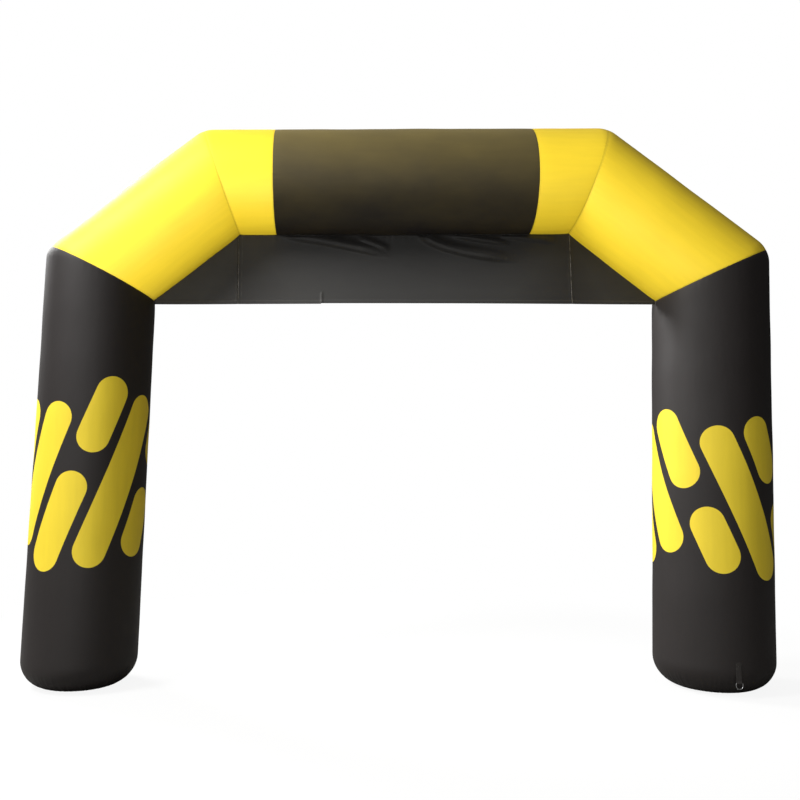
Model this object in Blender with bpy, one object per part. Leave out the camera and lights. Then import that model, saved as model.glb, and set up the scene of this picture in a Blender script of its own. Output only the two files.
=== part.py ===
"""Inflatable arch: a blower arch in coated cloth with a cloth banner under its beam.

Two upright tubes stand on rounded feet.  A slanted shoulder runs from the top of each one to a
level beam, and every change of direction is a mitred seam.  A black banner, sewn from a middle
panel and two corner gores, fills the space under the beam.  A webbing tab near the floor holds
a steel tie ring.

Metres, +Z up.  The origin is on the floor, midway across the arch.  The arch faces -Y.
"""

import math
from collections import namedtuple

import bmesh
import bpy
from mathutils import Vector

# ---- Driving dimensions -------------------------------------------------------------------

LEG_RADIUS = 0.450
BEAM_RADIUS = 0.445
BEAM_HEIGHT = 4.106            # axis of the beam above the floor
FOOT_CURVE_ACROSS = 0.226      # the foot rounds off from the tube's wall by this much ...
FOOT_CURVE_UP = 0.218          # ... over this height
CORNER_CURVE = 0.25            # radius that the outside of a mitred corner is blown out to
SEAM_DRAW = 0.004              # the thread draws each seam in by this much ...
SEAM_REACH = 0.060             # ... over this length of the tube
GAP = 0.0003                   # between neighbouring pieces

BANNER_THICKNESS = 0.0020
BANNER_CLEAR = 0.0020          # between the banner and the tubes that it is sewn to
HEM_DROP = 0.027               # the lower edge is this far under the tubes' inner corners
BANNER_DEPTH = 0.58            # from the beam to the lower edge
BANNER_SWING = 0.035           # the middle of the lower edge hangs forward by this much

WEBBING_WIDTH = 0.040
WEBBING_THICKNESS = 0.0015
TAB_TOP = 0.268                # height of the tab's upper edge above the floor
TAB_END = 0.264                # height of the front ply's upper end
RING_WIRE = 0.0025             # radius of the ring's wire
RING_BAR_HEIGHT = 0.118        # height of the ring's straight bar above the floor
RING_HALF_WIDTH = 0.0250       # from the ring's middle to the centre of its wire
RING_STRAIGHT = 0.015          # straight part of each side, between the bar and the bow
RING_BEND = 0.0035             # radius of the bend at each end of the bar
RING_ASIDE = 0.004             # from the leg's axis to the ring's middle, to the right

SEGMENTS = 44                  # around a tube
CURVE_STEPS = 4                # rings in the last stretch before a seam
FOOT_STEPS = 7                 # rings in the rounding of a foot
BANNER_STEP = 0.062            # about one column of the banner's mesh
BANNER_ROWS = 10

# The axis of the tube, over the arch from left to right.  The arch leans a little to the right.
Stop = namedtuple("Stop", "x z radius")
PATH = (
    Stop(x=-2.582, z=0.000, radius=LEG_RADIUS),            # left foot
    Stop(x=-2.502, z=3.323, radius=LEG_RADIUS),            # leg meets shoulder
    Stop(x=-1.495, z=BEAM_HEIGHT, radius=BEAM_RADIUS),     # shoulder meets beam
    Stop(x=-1.036, z=BEAM_HEIGHT, radius=BEAM_RADIUS),     # yellow meets black
    Stop(x=1.094, z=BEAM_HEIGHT, radius=BEAM_RADIUS),      # black meets yellow
    Stop(x=1.580, z=BEAM_HEIGHT, radius=BEAM_RADIUS),      # beam meets shoulder
    Stop(x=2.582, z=3.291, radius=LEG_RADIUS),             # shoulder meets leg
    Stop(x=2.446, z=0.000, radius=LEG_RADIUS),             # right foot
)
LEFT_CORNER, LEFT_BEAM, RIGHT_BEAM, RIGHT_CORNER = 1, 2, 5, 6

# Seams between the middle panel of the banner and its gores.
BANNER_SEAM_LEFT = -1.356
BANNER_SEAM_RIGHT = 1.426

# Folds of the banner.  Each is a soft ridge whose foot follows a curve from start to end.
Fold = namedtuple("Fold", "start bend end depth width")
FOLDS = (
    Fold(start=(-1.03, 3.64), bend=(-0.55, 3.57), end=(-0.07, 3.45), depth=0.014, width=0.050),
    Fold(start=(-0.36, 3.62), bend=(-0.22, 3.57), end=(-0.08, 3.51), depth=0.007, width=0.030),
    Fold(start=(0.14, 3.66), bend=(0.30, 3.47), end=(1.03, 3.41), depth=0.018, width=0.045),
    Fold(start=(0.41, 3.65), bend=(0.65, 3.59), end=(0.94, 3.56), depth=0.010, width=0.030),
    Fold(start=(0.82, 3.64), bend=(1.05, 3.60), end=(1.34, 3.58), depth=0.009, width=0.030),
)
FOLD_SAMPLES = 24              # points looked at along a fold's curve
FOLD_FADE = 0.25               # share of a fold's length over which it fades in, and out again
EDGE_FADE = 0.030              # the banner is flat where it is sewn on, and folds from here down

# Colours of the cloths and the metal: red, green, blue in linear light.
Finish = namedtuple("Finish", "colour roughness metallic")
YELLOW_CLOTH = Finish((0.88, 0.64, 0.045), 0.45, 0.0)
BLACK_CLOTH = Finish((0.028, 0.026, 0.026), 0.45, 0.0)
BANNER_CLOTH = Finish((0.038, 0.036, 0.034), 0.6, 0.0)
WEBBING = Finish((0.020, 0.020, 0.020), 0.8, 0.0)
STEEL = Finish((0.56, 0.56, 0.56), 0.3, 1.0)

ACROSS = Vector((0, 1, 0))     # through the arch, from front to back
ANGLES = [2 * math.pi * i / SEGMENTS for i in range(SEGMENTS)]


# ---- Helpers ------------------------------------------------------------------------------

def material_of(name, finish):
    material = bpy.data.materials.new(name)
    material.use_nodes = True
    shader = material.node_tree.nodes["Principled BSDF"]
    shader.inputs["Base Color"].default_value = (*finish.colour, 1.0)
    shader.inputs["Roughness"].default_value = finish.roughness
    shader.inputs["Metallic"].default_value = finish.metallic
    return material


def link(name, data, finish):
    """An object of that name with its own material."""
    data.materials.append(material_of(name, finish))
    piece = bpy.data.objects.new(name, data)
    bpy.context.scene.collection.objects.link(piece)
    return piece


def object_of(name, shape, finish, smooth_below=math.radians(35)):
    """An object from a bmesh, which is used up."""
    bmesh.ops.recalc_face_normals(shape, faces=shape.faces)
    mesh = bpy.data.meshes.new(name)
    shape.to_mesh(mesh)
    shape.free()
    mesh.shade_smooth()
    mesh.set_sharp_from_angle(angle=smooth_below)
    return link(name, mesh, finish)


def skin_over(rings):
    """A closed body over rings of points that run the same way round, with flat ends."""
    shape = bmesh.new()
    loops = [[shape.verts.new(point) for point in ring] for ring in rings]
    for near, far in zip(loops, loops[1:]):
        for i in range(len(near)):
            j = (i + 1) % len(near)
            shape.faces.new((near[i], near[j], far[j], far[i]))
    shape.faces.new(loops[0])
    shape.faces.new(loops[-1])
    return shape


def smooth_step(share):
    share = min(max(share, 0.0), 1.0)
    return share * share * (3 - 2 * share)


# ---- Tubes --------------------------------------------------------------------------------

def point_of(stop):
    return Vector((stop.x, 0, stop.z))


def direction(i):
    """Which way the axis runs from one stop to the next."""
    return (point_of(PATH[i + 1]) - point_of(PATH[i])).normalized()


def outer_side(along):
    """The side of a tube that is the outside of the arch."""
    return Vector((-along.z, 0, along.x))


def around(radius, outer, angle):
    """From the axis of a tube to its wall, at an angle counted from the outside of the arch."""
    return outer * (radius * math.cos(angle)) + ACROSS * (radius * math.sin(angle))


def seam_rings(i, tube):
    """Rings of one tube's wall as it nears the seam at stop i, from the seam inwards.

    The seam lies in the plane that halves the bend.  Air pressure blows the outside of the
    bend out to an arc, whose radius shrinks to nothing at the sides of the tube.
    """
    before, after = direction(i - 1), direction(i)
    along = before if tube == "before" else -after
    outer = outer_side(before if tube == "before" else after)
    normal = (before + after).normalized()
    half_turn = before.angle(after) / 2
    reach = max(SEAM_REACH, CORNER_CURVE * math.tan(half_turn))
    back_off = GAP / 2 / math.cos(half_turn)
    rings = []
    for step in range(CURVE_STEPS + 1):
        share = step / CURVE_STEPS
        radius = PATH[i].radius - SEAM_DRAW * smooth_step(1 - share * reach / SEAM_REACH)
        ring = []
        for angle in ANGLES:
            arc = CORNER_CURVE * max(math.cos(angle), 0)
            offset = around(radius, outer, angle)
            meeting = offset - along * (offset.dot(normal) / along.dot(normal))
            arc_end = arc * (1 - math.cos(half_turn)) * math.tan(half_turn)
            setback = arc_end + share * (reach - arc_end)
            into_arc = max(arc * math.tan(half_turn) - setback, 0)
            drop = arc - math.sqrt(arc * arc - into_arc * into_arc)
            ring.append(point_of(PATH[i]) + meeting - along * (setback + back_off) - outer * drop)
        rings.append(ring)
    return rings


def foot_rings(foot, corner):
    """Rings of a foot from its flat base up to where its rounding ends."""
    outer = Vector((math.copysign(1, foot.x), 0, 0))
    axis = point_of(corner) - point_of(foot)
    rings = []
    for step in range(FOOT_STEPS + 1):
        turn = math.pi / 2 * step / FOOT_STEPS
        height = FOOT_CURVE_UP * (1 - math.cos(turn))
        radius = foot.radius - FOOT_CURVE_ACROSS * (1 - math.sin(turn))
        centre = point_of(foot) + axis * (height / axis.z)
        rings.append([centre + around(radius, outer, angle) for angle in ANGLES])
    return rings


def leg(name, foot, corner, tube):
    rings = foot_rings(PATH[foot], PATH[corner]) + seam_rings(corner, tube)[::-1]
    return object_of(name, skin_over(rings), BLACK_CLOTH)


def tube_between(name, i, finish):
    """The tube from the seam at stop i to the one at the next stop."""
    rings = seam_rings(i, "after") + seam_rings(i + 1, "before")[::-1]
    return object_of(name, skin_over(rings), finish)


# ---- Banner -------------------------------------------------------------------------------

def inner_corner(i):
    """Where the innermost lines of two tubes meet at the seam at stop i."""
    before, after = direction(i - 1), direction(i)
    inward = -outer_side((before + after).normalized())
    return point_of(PATH[i]) + inward * (PATH[i].radius / math.cos(before.angle(after) / 2))


INNER_LINE = [inner_corner(i) for i in (LEFT_CORNER, LEFT_BEAM, RIGHT_BEAM, RIGHT_CORNER)]


def banner_top(x):
    """Height of the tubes' innermost line at x, less the banner's clearance."""
    for a, b in zip(INNER_LINE, INNER_LINE[1:]):
        if x <= b.x or b is INNER_LINE[-1]:
            return a.z + (b.z - a.z) * (x - a.x) / (b.x - a.x) - BANNER_CLEAR


def banner_bottom(x):
    a, b = INNER_LINE[0], INNER_LINE[-1]
    return a.z + (b.z - a.z) * (x - a.x) / (b.x - a.x) - HEM_DROP


def fold_curve(fold):
    """Points along a fold: a curve from start to end, drawn towards bend."""
    start, bend, end = (Vector(p) for p in (fold.start, fold.bend, fold.end))
    shares = [i / FOLD_SAMPLES for i in range(FOLD_SAMPLES + 1)]
    return [(t, start.lerp(bend, t).lerp(bend.lerp(end, t), t)) for t in shares]


FOLD_CURVES = [(fold, fold_curve(fold)) for fold in FOLDS]


def fold_height(x, z):
    """How far the folds stand forward at a place on the banner."""
    here = Vector((x, z))
    total = 0
    for fold, curve in FOLD_CURVES:
        t, nearest = min(curve, key=lambda sample: (sample[1] - here).length)
        above = math.copysign((here - nearest).length, z - nearest.y)
        crest = above / fold.width - 0.6
        fade = smooth_step(t / FOLD_FADE) * smooth_step((1 - t) / FOLD_FADE)
        total += fold.depth * fade * math.exp(-crest * crest)
    return total


def banner_point(x, share):
    """A point of the banner, share of the way up its column at x."""
    top, bottom = banner_top(x), banner_bottom(x)
    z = bottom + (top - bottom) * share
    drop = top - z
    along = (x - INNER_LINE[0].x) / (INNER_LINE[-1].x - INNER_LINE[0].x)
    swing = BANNER_SWING * math.sin(math.pi * along) * (drop / BANNER_DEPTH) ** 1.5
    folds = fold_height(x, z) * smooth_step(drop / EDGE_FADE)
    return Vector((x, -swing - folds, z))


def banner_panel(name, left, right):
    """A sheet between two upright edges, hanging from the tubes above it."""
    columns = max(round((right - left) / BANNER_STEP), 1)
    shape = bmesh.new()
    grid = [
        [
            shape.verts.new(banner_point(left + (right - left) * c / columns, r / BANNER_ROWS))
            for r in range(BANNER_ROWS + 1)
        ]
        for c in range(columns + 1)
    ]
    for near, far in zip(grid, grid[1:]):
        for r in range(BANNER_ROWS):
            shape.faces.new((near[r], far[r], far[r + 1], near[r + 1]))
    panel = object_of(name, shape, BANNER_CLOTH)
    thickness = panel.modifiers.new("thickness", "SOLIDIFY")
    thickness.thickness = BANNER_THICKNESS
    thickness.offset = 0
    return panel


# ---- Tie ring and its tab -----------------------------------------------------------------

RING_X = PATH[-1].x + RING_ASIDE
TAB_Y = -(LEG_RADIUS + GAP + WEBBING_THICKNESS / 2)               # middle of the back ply
LOOP_RADIUS = RING_WIRE + GAP + WEBBING_THICKNESS / 2             # to the middle of the webbing
RING_Y = TAB_Y - LOOP_RADIUS
LOOP_STEPS = 8
TAPER = 0.018                  # the two plies come together over this height above the bar


def tab_middle_line():
    """(y, z) along the middle of the webbing: down the back, round the bar, up the front."""
    line = [(TAB_Y, TAB_TOP)]
    for i in range(LOOP_STEPS + 1):
        turn = math.pi * i / LOOP_STEPS
        y = RING_Y + LOOP_RADIUS * math.cos(turn)
        line.append((y, RING_BAR_HEIGHT - LOOP_RADIUS * math.sin(turn)))
    front = TAB_Y - WEBBING_THICKNESS - 2 * GAP
    return line + [(front, RING_BAR_HEIGHT + TAPER), (front, TAB_END)]


def ring_tab():
    line = [Vector(p) for p in tab_middle_line()]
    sides = ([], [])
    for i, point in enumerate(line):
        ahead = (line[min(i + 1, len(line) - 1)] - point).normalized()
        behind = (point - line[max(i - 1, 0)]).normalized()
        along = (ahead + behind).normalized()
        mitre = max(along.dot(ahead or behind), 0.5)
        step = along.orthogonal() * (WEBBING_THICKNESS / 2 / mitre)
        sides[0].append(point + step)
        sides[1].append(point - step)
    outline = sides[0] + sides[1][::-1]
    edges = (RING_X - WEBBING_WIDTH / 2, RING_X + WEBBING_WIDTH / 2)
    rings = [[(x, p.x, p.y) for p in outline] for x in edges]
    return object_of("ring_tab", skin_over(rings), WEBBING)


def arc_points(x, z, radius, start, end, steps):
    """Points of an arc in the ring's plane, its angles in degrees from the right."""
    turns = [math.radians(start + (end - start) * i / steps) for i in range(steps + 1)]
    return [(x + radius * math.cos(t), z + radius * math.sin(t)) for t in turns]


def tie_ring():
    """A D of bent wire that hangs from its straight bar."""
    bend_x, bend_z = RING_HALF_WIDTH - RING_BEND, RING_BAR_HEIGHT - RING_BEND
    points = arc_points(bend_x, bend_z, RING_BEND, 90, 0, steps=4)
    points += arc_points(0, RING_BAR_HEIGHT - RING_STRAIGHT, RING_HALF_WIDTH, 0, -180, steps=16)
    points += arc_points(-bend_x, bend_z, RING_BEND, 180, 90, steps=4)
    wire = bpy.data.curves.new("tie_ring", "CURVE")
    wire.dimensions = "3D"
    wire.bevel_depth = RING_WIRE
    wire.bevel_resolution = 2
    spline = wire.splines.new("POLY")
    spline.points.add(len(points) - 1)
    for target, (x, z) in zip(spline.points, points):
        target.co = (RING_X + x, RING_Y, z, 1)
    spline.use_cyclic_u = True
    return link("tie_ring", wire, STEEL)


# ---- The whole arch -----------------------------------------------------------------------

def build():
    for old in list(bpy.data.objects):
        bpy.data.objects.remove(old)
    leg("leg_left", foot=0, corner=1, tube="before")
    tube_between("shoulder_left", 1, YELLOW_CLOTH)
    tube_between("beam_end_left", 2, YELLOW_CLOTH)
    tube_between("beam_middle", 3, BLACK_CLOTH)
    tube_between("beam_end_right", 4, YELLOW_CLOTH)
    tube_between("shoulder_right", 5, YELLOW_CLOTH)
    leg("leg_right", foot=7, corner=6, tube="after")
    left_edge = INNER_LINE[0].x + BANNER_CLEAR
    right_edge = INNER_LINE[-1].x - BANNER_CLEAR
    banner_panel("banner_gore_left", left_edge, BANNER_SEAM_LEFT - GAP / 2)
    banner_panel("banner_middle", BANNER_SEAM_LEFT + GAP / 2, BANNER_SEAM_RIGHT - GAP / 2)
    banner_panel("banner_gore_right", BANNER_SEAM_RIGHT + GAP / 2, right_edge)
    ring_tab()
    tie_ring()


build()
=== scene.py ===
# %% [markdown]
# # Inflatable arch
#
# A blower arch is a closed tube of coated cloth, kept round by a fan. It is cut as straight
# lengths whose ends are slanted, so that two of them sewn together make a bend. This lesson
# dresses a finished frame of such an arch: each length of tube, the cloth banner under the
# beam, and the tie ring on one foot gets its fine shape and its finish.
#
# The frame holds the true sizes. It is loaded first, and nothing in it is moved.

# %% The frame
import math
from collections import namedtuple

import bmesh
import bpy
import numpy as np
from mathutils import Matrix, Vector


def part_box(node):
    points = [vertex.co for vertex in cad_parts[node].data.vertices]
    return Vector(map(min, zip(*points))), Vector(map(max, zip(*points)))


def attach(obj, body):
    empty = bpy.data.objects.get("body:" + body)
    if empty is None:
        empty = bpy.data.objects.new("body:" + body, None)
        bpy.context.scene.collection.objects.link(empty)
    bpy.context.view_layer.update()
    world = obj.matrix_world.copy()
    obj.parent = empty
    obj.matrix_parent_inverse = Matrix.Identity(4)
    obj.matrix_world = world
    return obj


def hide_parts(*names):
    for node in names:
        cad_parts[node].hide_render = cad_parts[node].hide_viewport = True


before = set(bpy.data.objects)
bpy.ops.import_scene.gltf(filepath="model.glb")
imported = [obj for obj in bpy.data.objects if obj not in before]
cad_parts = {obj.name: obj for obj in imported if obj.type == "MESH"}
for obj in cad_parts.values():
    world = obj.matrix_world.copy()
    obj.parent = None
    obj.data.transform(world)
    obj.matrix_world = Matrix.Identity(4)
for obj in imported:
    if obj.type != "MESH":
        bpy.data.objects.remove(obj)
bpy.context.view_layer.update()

print("pieces in the frame:", ", ".join(sorted(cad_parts)))

# %% [markdown]
# ## The camera
#
# The arch is seen from the height of a person's eyes, a little left of its middle and a
# little under seven metres away, with the camera tipped up. A camera that is tipped up makes
# uprights lean together, which is part of how a tall thing looks from near by.

# %% The camera
CAMERA_PLACE = (-0.469, -6.951, 1.654)
CAMERA_TIPPED_UP = math.radians(6.68)
CAMERA_TURNED_LEFT = math.radians(0.52)
LENS_MM = 38.07
FRAME_SHIFT = (0.0797, -0.031)


def in_scene(name, data):
    """An object in the scene that holds some data."""
    thing = bpy.data.objects.new(name, data)
    bpy.context.scene.collection.objects.link(thing)
    return thing


view = bpy.data.cameras.new("view")
view.lens = LENS_MM
view.shift_x, view.shift_y = FRAME_SHIFT
camera = in_scene("camera", view)
camera.location = CAMERA_PLACE
camera.rotation_euler = (math.pi / 2 + CAMERA_TIPPED_UP, 0, CAMERA_TURNED_LEFT)
bpy.context.scene.camera = camera
print("camera height:", camera.location.z)

# %% [markdown]
# ## Light and floor
#
# A studio for a thing this large is a pale floor, a big soft lamp high on the left, a weak one
# in front, one behind that lights the upper edges, and a dim room. The cloth is half glossy,
# so it mirrors the room: a room that is bright above and dark below gives a tube its shading
# from top to bottom. The floor is pale to the eye but sends little light back up, because the
# black cloth would turn grey in it.

# %% Light and floor
def add(tree, kind, settings=None, **sources):
    """Adds a node and returns it.

    settings go on the node, or on its inputs by name. Each further value goes to the input of
    that name, or in0 to the first input and so on, as a link or as a plain value.
    """
    node = tree.nodes.new(kind)
    for key, value in (settings or {}).items():
        if key in node.inputs:
            node.inputs[key].default_value = value
        else:
            setattr(node, key, value)
    for key, value in sources.items():
        slot = node.inputs[int(key[2:]) if key[2:].isdigit() else key.replace("_", " ")]
        if isinstance(value, bpy.types.NodeSocket):
            tree.links.new(value, slot)
        else:
            slot.default_value = value
    return node


def srgb(code):
    """A hex colour as the eye names it, turned to linear light."""
    values = [int(code[i:i + 2], 16) / 255 for i in (1, 3, 5)]
    return tuple(v / 12.92 if v <= 0.04045 else ((v + 0.055) / 1.055) ** 2.4 for v in values) + (1.0,)


bpy.context.scene.view_settings.view_transform = "Standard"

ROOM_ABOVE = 0.85              # light of the room overhead, ...
ROOM_LEVEL = 0.30              # ... level with the arch ...
ROOM_BELOW = 0.05              # ... and underfoot
LEVEL_FROM, LEVEL_TO = 0.47, 0.56   # where the level light starts and is full, from 0 to 1 upwards
ROOM_RIGHT = 0.08              # the right of the room has this share of the light of the left
ROOM_SIDE = 0.8                # how far to a side the room has its full difference
SEEN_ROOM = 1.0                # what the camera sees behind the arch: plain white

room = bpy.data.worlds.new("room")
room.use_nodes = True
bpy.context.scene.world = room
tree = room.node_tree
tree.nodes.clear()
toward = add(tree, "ShaderNodeTexCoord")
parts = add(tree, "ShaderNodeSeparateXYZ", Vector=toward.outputs["Generated"])
ramp = add(tree, "ShaderNodeMapRange", {"From Min": -1.0, "From Max": 1.0}, Value=parts.outputs["Z"])
shades = add(tree, "ShaderNodeValToRGB", Fac=ramp.outputs["Result"])
shades.color_ramp.elements[0].color = (ROOM_BELOW, ROOM_BELOW, ROOM_BELOW, 1)
shades.color_ramp.elements[-1].color = (ROOM_ABOVE, ROOM_ABOVE, ROOM_ABOVE, 1)
for position, level in ((LEVEL_FROM, ROOM_BELOW), (LEVEL_TO, ROOM_LEVEL)):
    shades.color_ramp.elements.new(position).color = (level, level, level, 1)
aside = add(tree, "ShaderNodeMapRange", {
    "From Min": -ROOM_SIDE, "From Max": ROOM_SIDE, "To Min": 1.0, "To Max": ROOM_RIGHT},
    Value=parts.outputs["X"])
dim = add(tree, "ShaderNodeBackground", Color=shades.outputs["Color"], Strength=aside.outputs["Result"])
plain = add(tree, "ShaderNodeBackground", {"Color": (SEEN_ROOM, SEEN_ROOM, SEEN_ROOM, 1)})
eye = add(tree, "ShaderNodeLightPath")
both = add(tree, "ShaderNodeMixShader", in0=eye.outputs["Is Camera Ray"],
           in1=dim.outputs[0], in2=plain.outputs[0])
add(tree, "ShaderNodeOutputWorld", Surface=both.outputs[0])

Lamp = namedtuple("Lamp", "name place aim size power")
LAMPS = (
    Lamp("key", place=(-6.6, -3.8, 8.2), aim=(-1.0, 0.0, 4.2), size=3.0, power=880),
    Lamp("front", place=(-3.0, -12.0, 3.2), aim=(0.0, 0.0, 2.8), size=6.0, power=235),
    Lamp("glare", place=(-7.5, 4.5, 8.0), aim=(-2.0, 0.0, 3.8), size=4.0, power=1250),
    Lamp("glow", place=(-1.8, -4.6, 0.3), aim=(-0.8, 0.0, 3.9), size=5.0, power=500),
)
for lamp in LAMPS:
    light = bpy.data.lights.new(lamp.name, "AREA")
    light.shape = "DISK"
    light.size = lamp.size
    light.energy = lamp.power
    holder = in_scene(lamp.name, light)
    holder.location = lamp.place
    holder.rotation_euler = (Vector(lamp.aim) - Vector(lamp.place)).to_track_quat("-Z", "Y").to_euler()
    holder.visible_camera = False
    if lamp.name == "glow":
        # Daylight comes through thin yellow cloth and lights the tube from within. A filled
        # tube can't show that, so this lamp stands in for it and reaches the yellow cloth only.
        glowing = bpy.data.collections.new("yellow cloth")
        holder.light_linking.receiver_collection = glowing

FLOOR_HALF = 60                # half the width of the floor
SHADOW_SHARE = 0.10            # how much of the floor's true shading the eye gets, near the arch ...
SHADOW_NEAR, SHADOW_FAR = 3.2, 5.5             # ... fading out between these distances

floor_mesh = bpy.data.meshes.new("floor")
floor_mesh.from_pydata([(x, y, 0) for x, y in ((-1, -1), (1, -1), (1, 1), (-1, 1))], [], [(0, 1, 2, 3)])
floor_mesh.transform(Matrix.Scale(FLOOR_HALF, 4))
floor = in_scene("floor", floor_mesh)
pale = bpy.data.materials.new("pale studio floor")
pale.use_nodes = True
tree = pale.node_tree
tree.nodes.clear()
place = add(tree, "ShaderNodeNewGeometry").outputs["Position"]
away = add(tree, "ShaderNodeVectorMath", {"operation": "LENGTH"}, in0=place)
share = add(tree, "ShaderNodeMapRange", {
    "interpolation_type": "SMOOTHSTEP", "From Min": SHADOW_NEAR, "From Max": SHADOW_FAR,
    "To Min": SHADOW_SHARE, "To Max": 0.0}, Value=away.outputs["Value"])
white = add(tree, "ShaderNodeEmission", {"Color": (SEEN_ROOM, SEEN_ROOM, SEEN_ROOM, 1)})
lit = add(tree, "ShaderNodeBsdfDiffuse", {"Color": srgb("#FBFBFA")})
seen = add(tree, "ShaderNodeMixShader", in0=share.outputs["Result"], in1=white.outputs[0], in2=lit.outputs[0])
sent = add(tree, "ShaderNodeBsdfDiffuse", {"Color": srgb("#8A8986")})
eye = add(tree, "ShaderNodeLightPath")
both = add(tree, "ShaderNodeMixShader", in0=eye.outputs["Is Camera Ray"],
           in1=sent.outputs[0], in2=seen.outputs[0])
add(tree, "ShaderNodeOutputMaterial", Surface=both.outputs[0])
floor_mesh.materials.append(pale)
print("lamps:", ", ".join(lamp.name for lamp in LAMPS))

# %% [markdown]
# ## The drawing of the tube
#
# The axis of an arch is a bent line: up one leg, in along a shoulder, across the beam, and
# down again. Everything else is worked out from where it bends. The bends repeat the frame's
# own dimensions, and what the frame's boxes can say is read from them. This arch leans a
# little to its right, as they do when one foot stands nearer than the other.

# %% The drawing of the tube
beam_low, beam_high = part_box("beam_middle")
BEAM_RADIUS = (beam_high.y - beam_low.y) / 2
BEAM_HEIGHT = (beam_high.z + beam_low.z) / 2
leg_low, leg_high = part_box("leg_left")
LEG_RADIUS = (leg_high.y - leg_low.y) / 2
GAP = 0.0003                   # between one piece and the next

Stop = namedtuple("Stop", "x z radius")
PATH = (
    Stop(x=-2.582, z=0.000, radius=LEG_RADIUS),            # left foot
    Stop(x=-2.502, z=3.323, radius=LEG_RADIUS),            # leg meets shoulder
    Stop(x=-1.495, z=BEAM_HEIGHT, radius=BEAM_RADIUS),     # shoulder meets beam
    Stop(x=beam_low.x, z=BEAM_HEIGHT, radius=BEAM_RADIUS),
    Stop(x=beam_high.x, z=BEAM_HEIGHT, radius=BEAM_RADIUS),
    Stop(x=1.580, z=BEAM_HEIGHT, radius=BEAM_RADIUS),      # beam meets shoulder
    Stop(x=2.582, z=3.291, radius=LEG_RADIUS),             # shoulder meets leg
    Stop(x=2.446, z=0.000, radius=LEG_RADIUS),             # right foot
)
FOOT_CURVE_ACROSS = 0.226      # a foot rounds off from the tube's wall by this much ...
FOOT_CURVE_UP = 0.218          # ... over this height
CORNER_CURVE = 0.25            # radius that the outside of a bend is blown out to

FRONT = np.array([0.0, -1.0, 0.0])


def stop_point(i):
    return np.array([PATH[i].x, 0.0, PATH[i].z])


def run_direction(i):
    """Which way the axis runs from stop i to the next."""
    step = stop_point(i + 1) - stop_point(i)
    return step / np.linalg.norm(step)


def outer_side(along):
    """The side of a tube that is the outside of the arch."""
    return np.array([-along[2], 0.0, along[0]])


def smooth(share):
    share = np.clip(share, 0, 1)
    return share * share * (3 - 2 * share)


print(f"leg radius {LEG_RADIUS:.3f}, beam radius {BEAM_RADIUS:.3f}, beam height {BEAM_HEIGHT:.3f}")

# %% [markdown]
# ## What a seam does to a blown-up tube
#
# Thread holds the two cloths tight at a seam while the air pushes them out on both sides.
# So each seam lies in a narrow groove with a soft shoulder, and the cloth puckers into short
# ripples that run away from it and die out within a hand's breadth. At the inside of a bend
# the cloth has length to spare, and the groove and the ripples are deeper there. Each of
# these has a depth and a reach, and they shape the mesh itself, so that the light catches
# real hollows.

# %% What a seam does to a blown-up tube
GROOVE = 0.0032                # depth of the narrow groove at the thread ...
GROOVE_REACH = 0.009           # ... and how far it reaches
SHOULDER = 0.0026              # depth of the soft hollow around it ...
SHOULDER_REACH = 0.050         # ... and how far that reaches
STRAIGHT_SHARE = 0.35          # a seam with no bend is drawn in by this share of that
PUCKER = 0.0008                # height of the ripples at the seam ...
PUCKER_REACH = 0.040           # ... and how far they run
PUCKER_COUNTS = (90, 61, 43)   # ripples round a whole tube: the finest are about 30 mm long
PUCKER_DRIFT = 0.9             # how far the ripples crowd together and spread out, as an angle
BEND_PUCKER = 0.0034           # extra height of the ripples at the inside of a bend ...
BEND_PUCKER_REACH = 0.075      # ... and how far that runs
SagWave = namedtuple("SagWave", "length height")
SAG_WAVES = (SagWave(length=0.9, height=0.0009), SagWave(length=0.43, height=0.0005))
SAG_TWIST = 0.37               # along the tube, the waves shift round it over this length


def ripples(turn, seed):
    """Uneven ripples, between -1 and 1, that repeat with each full turn of an angle."""
    draw = np.random.RandomState(seed)
    total = np.zeros_like(turn)
    for count in PUCKER_COUNTS:
        shift, start = draw.uniform(0, 2 * math.pi, 2)
        drift = PUCKER_DRIFT * np.sin(draw.randint(8, 15) * turn + start)
        total += np.sin(count * turn + shift + drift)
    return total / len(PUCKER_COUNTS)


def seam_depth(distance, turn, inside, bent, seed):
    """How far the wall is drawn in, distance metres from a seam, at an angle round the tube.

    inside is 1 at the inside of a bend and 0 from the sides on.
    """
    depth = GROOVE * np.exp(-distance / GROOVE_REACH)
    depth = depth + SHOULDER * np.exp(-(distance / SHOULDER_REACH) ** 2)
    depth *= STRAIGHT_SHARE + (1 - STRAIGHT_SHARE) * inside if bent else STRAIGHT_SHARE
    wave = ripples(turn, seed)
    depth = depth + PUCKER * np.exp(-distance / PUCKER_REACH) * wave
    return depth + BEND_PUCKER * inside ** 3 * np.exp(-distance / BEND_PUCKER_REACH) * np.abs(wave)


def slow_waves(turn, run, seed):
    """The slow unevenness of a long wall. It repeats with each full turn of the angle."""
    draw = np.random.RandomState(seed)
    total = np.zeros(np.broadcast(turn, run).shape)
    for sag in SAG_WAVES:
        a, b, c, d = draw.uniform(0, 2 * math.pi, 4)
        total += sag.height * np.sin(2 * math.pi * run / sag.length + a + np.sin(turn + b))
        total += sag.height * np.sin(round(2 / sag.length) * turn + c + np.sin(run / SAG_TWIST + d))
    return total


print("deepest a seam is drawn in, in mm:", 1000 * (GROOVE + SHOULDER))

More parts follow.
